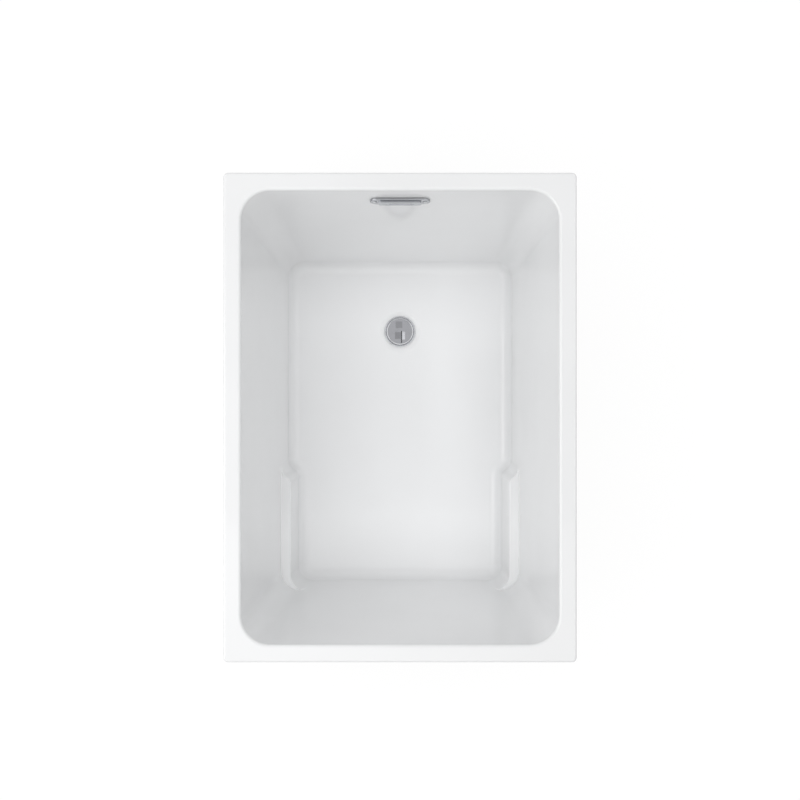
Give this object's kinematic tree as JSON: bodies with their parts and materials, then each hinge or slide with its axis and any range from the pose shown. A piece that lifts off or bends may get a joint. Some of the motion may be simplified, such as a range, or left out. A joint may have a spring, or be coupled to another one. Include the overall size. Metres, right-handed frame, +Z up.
{
  "type": "alcove bathtub",
  "caption": "Small deep white acrylic alcove tub with moulded seat ledges, drain and slim overflow at one end, front apron, steel base frame and levelling feet.",
  "frame": {"origin": "centre of the bounding box at its base, on the building's floor under the middle of the tub", "axes": "+Z up; +Y along the tub towards the drain; +X across it, from the apron at the front to the back wall"},
  "size_m": [0.65, 0.9, 0.6],
  "materials": {
    "white_acrylic": "gloss cast acrylic, reinforced behind",
    "plywood": "raw plywood",
    "timber": "planed softwood",
    "painted_steel": "powder coat, satin",
    "zinc_steel": "bright zinc plate",
    "apron_screw_steel": "white enamel on the heads",
    "black_plastic": "moulded, matt",
    "rubber": "moulded rubber",
    "chrome": "polished chrome",
    "brass": "turned",
    "white_plastic": "moulded, satin",
    "hose_plastic": "soft ribbed plastic"
  },
  "bodies": {
    "tub": {"apron_bracket_drain": "painted_steel", "apron_bracket_seat": "painted_steel", "apron_screws": "apron_screw_steel", "base_board": "plywood", "base_rail_back": "painted_steel", "base_rail_front": "painted_steel", "board_screws": "zinc_steel", "bracket_screws": "zinc_steel", "cross_member_drain": "painted_steel", "cross_member_screws": "zinc_steel", "cross_member_seat": "painted_steel", "drain_flange": "chrome", "drain_gasket": "rubber", "drain_locknut": "white_plastic", "drain_washer": "rubber", "foot_lock_nuts": "zinc_steel", "front_apron": "white_acrylic", "hose_clamp_lower": "zinc_steel", "hose_clamp_upper": "zinc_steel", "overflow_body": "white_plastic", "overflow_gasket": "rubber", "overflow_hood": "chrome", "overflow_hose": "hose_plastic", "overflow_plate": "chrome", "overflow_screws": "zinc_steel", "overflow_seal": "rubber", "rail_end_caps": "black_plastic", "rim_batten_back": "timber", "rim_batten_drain": "timber", "rim_batten_front": "timber", "rim_batten_seat": "timber", "stopper_post": "brass", "tub_shell": "white_acrylic", "upright_back_drain": "painted_steel", "upright_back_seat": "painted_steel", "upright_front_drain": "painted_steel", "upright_front_seat": "painted_steel", "upright_screws": "zinc_steel", "waste_body": "white_plastic"},
    "foot_front_drain": {"foot_pad_front_drain": "black_plastic", "foot_stem_front_drain": "zinc_steel"},
    "foot_front_seat": {"foot_pad_front_seat": "black_plastic", "foot_stem_front_seat": "zinc_steel"},
    "foot_back_drain": {"foot_pad_back_drain": "black_plastic", "foot_stem_back_drain": "zinc_steel"},
    "foot_back_seat": {"foot_pad_back_seat": "black_plastic", "foot_stem_back_seat": "zinc_steel"},
    "stopper": {"stopper_cap": "chrome", "stopper_seal": "rubber"}
  },
  "joints": [
    {"name": "foot_front_drain_screw", "type": "slide", "parent": "tub", "child": "foot_front_drain", "axis": [0, 0, 1], "range_m": [-0.02, 0]},
    {"name": "foot_front_seat_screw", "type": "slide", "parent": "tub", "child": "foot_front_seat", "axis": [0, 0, 1], "range_m": [-0.02, 0]},
    {"name": "foot_back_drain_screw", "type": "slide", "parent": "tub", "child": "foot_back_drain", "axis": [0, 0, 1], "range_m": [-0.02, 0]},
    {"name": "foot_back_seat_screw", "type": "slide", "parent": "tub", "child": "foot_back_seat", "axis": [0, 0, 1], "range_m": [-0.02, 0]},
    {"name": "stopper_lift", "type": "slide", "parent": "tub", "child": "stopper", "axis": [0, 0, 1], "range_m": [0, 0.008]}
  ]
}
